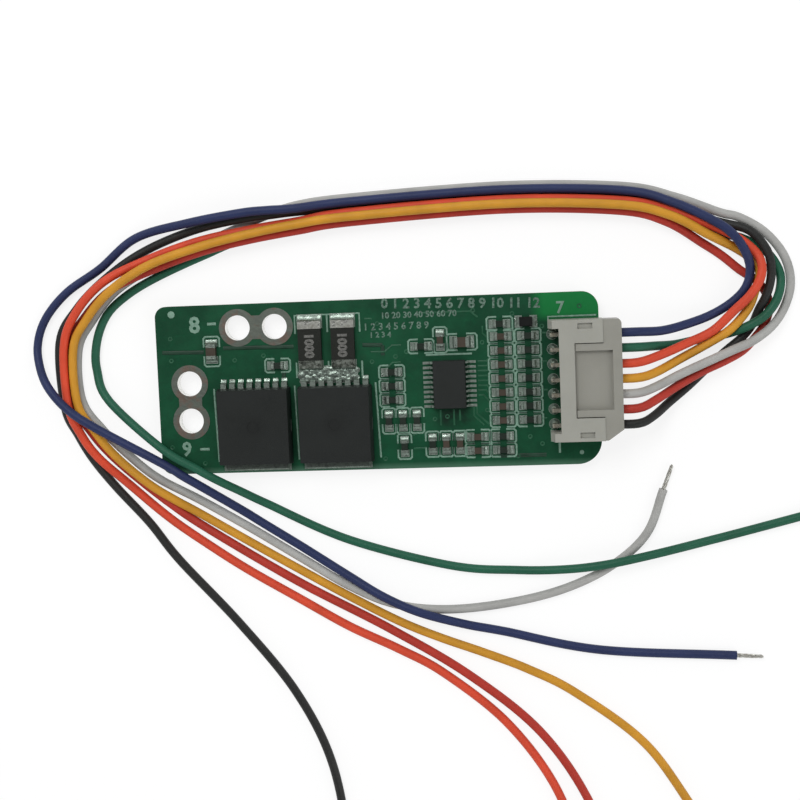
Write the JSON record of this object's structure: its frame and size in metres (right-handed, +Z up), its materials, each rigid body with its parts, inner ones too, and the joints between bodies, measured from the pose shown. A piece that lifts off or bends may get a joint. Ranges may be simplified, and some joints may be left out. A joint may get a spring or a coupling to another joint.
{
  "type": "battery management board",
  "caption": "Slim battery protection and balancing circuit board with power transistors, current shunts, a monitor chip, and a side-entry connector plugged with a loose harness of wires.",
  "frame": {"origin": "centre of the board and header seen from above, at the tips of the header's pins, which are the lowest points and stand on the table", "axes": "+X along the board from its power end to its connector, +Y across the board to the side of the battery power holes, +Z up from the component side"},
  "size_m": [0.1099, 0.114, 0.007],
  "materials": {
    "board": "green solder mask over glass-fibre laminate",
    "tinned_copper": "tinned copper",
    "solder": "satin solder",
    "transistor_mould": "dark grey moulding compound",
    "tinned_lead": "tin plated lead",
    "shunt_element": "black coating",
    "chip_end": "tinned end cap",
    "chip_mould": "black moulding compound",
    "resistor": "black glaze on ceramic",
    "capacitor": "brown ceramic",
    "connector": "cream nylon",
    "pin": "tin plated brass",
    "wire_black": "soft insulation",
    "wire_red": "soft insulation",
    "wire_white": "soft insulation",
    "wire_yellow": "soft insulation",
    "wire_light_red": "soft insulation",
    "wire_green": "soft insulation",
    "wire_blue": "soft insulation",
    "strands": "tinned strands"
  },
  "bodies": {
    "root": {"circuit_board": "board", "battery_power_pads": "tinned_copper", "charge_and_load_pads": "tinned_copper", "header_pads": "tinned_copper", "chip_pads": "tinned_copper", "left_transistor_body": "transistor_mould", "left_transistor_source_leads": "tinned_lead", "left_transistor_gate_lead": "tinned_lead", "left_transistor_drain_tab": "tinned_lead", "right_transistor_body": "transistor_mould", "right_transistor_source_leads": "tinned_lead", "right_transistor_gate_lead": "tinned_lead", "right_transistor_drain_tab": "tinned_lead", "transistor_solder": "solder", "left_shunt_body": "shunt_element", "left_shunt_ends": "chip_end", "right_shunt_body": "shunt_element", "right_shunt_ends": "chip_end", "shunt_solder": "solder", "monitor_chip_body": "chip_mould", "monitor_chip_far_side_leads": "tinned_lead", "monitor_chip_near_side_leads": "tinned_lead", "balance_resistor_bodies": "resistor", "balance_resistor_ends": "chip_end", "filter_capacitor_bodies": "capacitor", "filter_capacitor_ends": "chip_end", "small_resistor_bodies": "resistor", "small_resistor_ends": "chip_end", "small_capacitor_bodies": "capacitor", "small_capacitor_ends": "chip_end", "large_capacitor_bodies": "capacitor", "large_capacitor_ends": "chip_end", "diode_body": "chip_mould", "diode_leads": "tinned_lead", "chip_solder": "solder", "header_housing": "connector", "header_pins": "pin", "header_solder": "solder", "plug_housing": "connector", "crimp_terminals": "pin", "wire_1_black": "wire_black", "wire_2_red": "wire_red", "wire_3_white": "wire_white", "wire_4_yellow": "wire_yellow", "wire_5_red": "wire_light_red", "wire_6_green": "wire_green", "wire_7_blue": "wire_blue", "wire_tips": "strands"}
  },
  "joints": []
}
